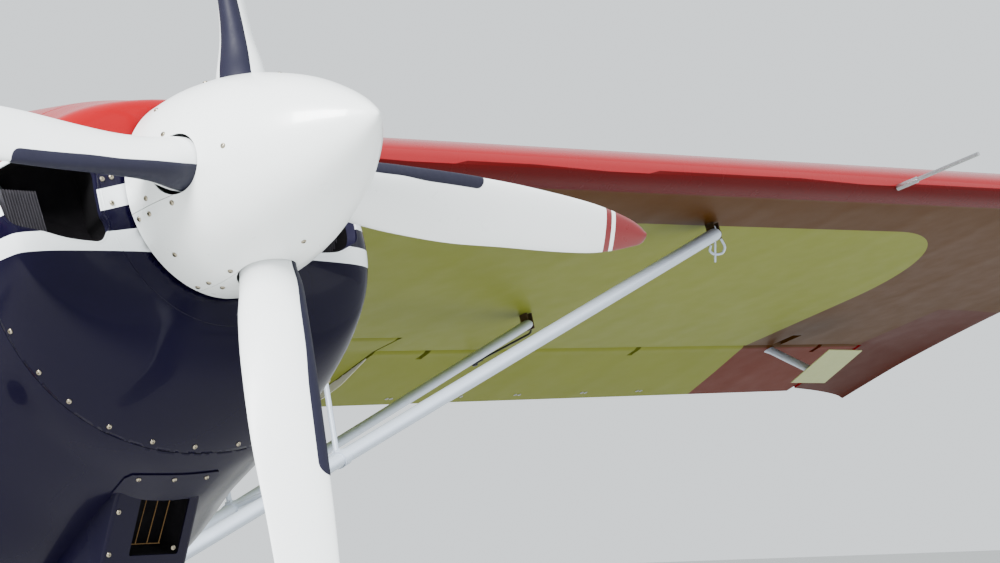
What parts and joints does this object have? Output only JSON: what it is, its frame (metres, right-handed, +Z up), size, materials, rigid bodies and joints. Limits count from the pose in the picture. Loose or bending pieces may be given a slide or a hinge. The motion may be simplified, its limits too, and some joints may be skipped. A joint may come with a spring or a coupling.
{
  "type": "light aircraft",
  "caption": "High-wing, strut-braced two-seat light aircraft on tailwheel gear, with a four-blade propeller, spinner, balanced ailerons, flaps and a split side door.",
  "frame": {"origin": "on the ground, under the middle of the box around the parked aircraft", "axes": "+Z up, nose towards -Y, port wing towards +X; the thrust line is nose-up by 12 degrees"},
  "size_m": [10.885, 6.8776, 2.4472],
  "materials": {
    "white_paint": "gloss white paint on spun sheet",
    "white_blade": "gloss white composite with a dark leading edge and red tip",
    "bare_metal": "bare machined",
    "navy_paint": "gloss navy paint on a moulded cowl",
    "red_paint": "gloss red paint on a moulded cowl",
    "navy_sheet": "gloss navy paint on sheet",
    "engine_metal": "cast and painted grey",
    "exhaust_steel": "heat-stained",
    "red_fabric": "doped and painted fabric over ribs",
    "cream_fabric": "doped and painted fabric over ribs",
    "red_panel": "gloss paint on a framed panel",
    "window_glass": "clear moulded sheet",
    "black_panel": "matt black",
    "seat_cloth": "woven cloth",
    "black_metal": "satin black",
    "silver_paint": "pale grey paint",
    "gear_paint": "gloss red paint",
    "wheel_paint": "white enamel",
    "tyre_rubber": "worn black"
  },
  "bodies": {
    "airframe": {"nose_bowl": "navy_paint", "cowl_upper": "red_paint", "cowl_lower": "navy_paint", "engine": "engine_metal", "exhaust": "exhaust_steel", "boot_cowl": "navy_sheet", "cabin_shell": "red_fabric", "window_left": "window_glass", "rear_window_left": "window_glass", "rear_window_right": "window_glass", "roof": "red_fabric", "skylight": "window_glass", "windscreen": "window_glass", "instrument_panel": "black_panel", "seat_front": "seat_cloth", "seat_rear": "seat_cloth", "control_sticks": "black_metal", "tail_cone": "red_fabric", "fin": "red_fabric", "tailplane_left": "red_fabric", "tailplane_right": "red_fabric", "wing_left": "red_fabric", "wing_right": "red_fabric", "lift_strut_front_left": "silver_paint", "lift_strut_front_right": "silver_paint", "lift_strut_rear_left": "silver_paint", "lift_strut_rear_right": "silver_paint", "jury_strut_left": "silver_paint", "jury_strut_right": "silver_paint", "pitot_tube": "bare_metal", "gear_leg_left": "gear_paint", "gear_leg_right": "gear_paint", "gear_cabane": "silver_paint", "tail_spring": "black_metal"},
    "propeller": {"propeller_hub": "bare_metal", "spinner": "white_paint", "blade_1": "white_blade", "blade_2": "white_blade", "blade_3": "white_blade", "blade_4": "white_blade"},
    "main_wheel_left": {"wheel_left": "wheel_paint", "tyre_left": "tyre_rubber"},
    "main_wheel_right": {"wheel_right": "wheel_paint", "tyre_right": "tyre_rubber"},
    "caster": {"tailwheel_fork": "black_metal"},
    "tail_wheel": {"tailwheel": "tyre_rubber"},
    "rudder": {"rudder": "red_fabric"},
    "elevator": {"elevator": "red_fabric"},
    "aileron_left": {"aileron_left": "red_fabric"},
    "aileron_right": {"aileron_right": "red_fabric"},
    "flap_left": {"flap_left": "cream_fabric"},
    "flap_right": {"flap_right": "cream_fabric"},
    "door_lower": {"door_lower": "red_panel"},
    "door_upper": {"door_upper": "red_panel", "door_glass": "window_glass"}
  },
  "joints": [
    {"name": "propeller_spin", "type": "hinge", "parent": "airframe", "child": "propeller", "pos_m": [0, -3.16495, 1.59749], "axis": [0, -0.9781, 0.2079], "continuous": true},
    {"name": "wheel_left_spin", "type": "hinge", "parent": "airframe", "child": "main_wheel_left", "pos_m": [0.92, -2.06484, 0.27998], "axis": [1, 0, 0], "continuous": true},
    {"name": "wheel_right_spin", "type": "hinge", "parent": "airframe", "child": "main_wheel_right", "pos_m": [-0.92, -2.06484, 0.27998], "axis": [1, 0, 0], "continuous": true},
    {"name": "tailwheel_caster", "type": "hinge", "parent": "airframe", "child": "caster", "pos_m": [0, 2.85571, 0.19998], "axis": [0, 0, 1], "continuous": true},
    {"name": "tailwheel_spin", "type": "hinge", "parent": "caster", "child": "tail_wheel", "pos_m": [0, 2.92171, 0.09998], "axis": [1, 0, 0], "continuous": true},
    {"name": "rudder_hinge", "type": "hinge", "parent": "airframe", "child": "rudder", "pos_m": [0, 2.86413, 0.62268], "axis": [0, 0.2079, 0.9781], "range_deg": [-25, 25]},
    {"name": "elevator_hinge", "type": "hinge", "parent": "airframe", "child": "elevator", "pos_m": [0, 2.67956, 0.47584], "axis": [1, 0, 0], "range_deg": [-25, 28]},
    {"name": "aileron_left_hinge", "type": "hinge", "parent": "airframe", "child": "aileron_left", "pos_m": [3.9493, -0.45851, 1.63123], "axis": [0.9997, 0.0051, 0.0239], "range_deg": [-18, 18]},
    {"name": "aileron_right_hinge", "type": "hinge", "parent": "airframe", "child": "aileron_right", "pos_m": [-3.9493, -0.45851, 1.63123], "axis": [0.9997, -0.0051, -0.0239], "range_deg": [-18, 18]},
    {"name": "flap_left_hinge", "type": "hinge", "parent": "airframe", "child": "flap_left", "pos_m": [1.61646, -0.57602, 1.62038], "axis": [-0.9997, -0.0051, -0.0239], "range_deg": [0, 30]},
    {"name": "flap_right_hinge", "type": "hinge", "parent": "airframe", "child": "flap_right", "pos_m": [-1.61646, -0.57602, 1.62038], "axis": [-0.9997, 0.0051, 0.0239], "range_deg": [0, 30]},
    {"name": "door_lower_hinge", "type": "hinge", "parent": "airframe", "child": "door_lower", "pos_m": [-0.372, -1.48412, 0.84764], "axis": [0, -0.9781, 0.2079], "range_deg": [0, 80]},
    {"name": "door_upper_hinge", "type": "hinge", "parent": "airframe", "child": "door_upper", "pos_m": [-0.372, -1.71411, 1.7328], "axis": [0, 0.9707, -0.2403], "range_deg": [0, 80]}
  ],
  "couplings": [
    {"joint": "aileron_right_hinge", "follows": "aileron_left_hinge", "ratio": -1},
    {"joint": "flap_right_hinge", "follows": "flap_left_hinge", "ratio": 1}
  ]
}
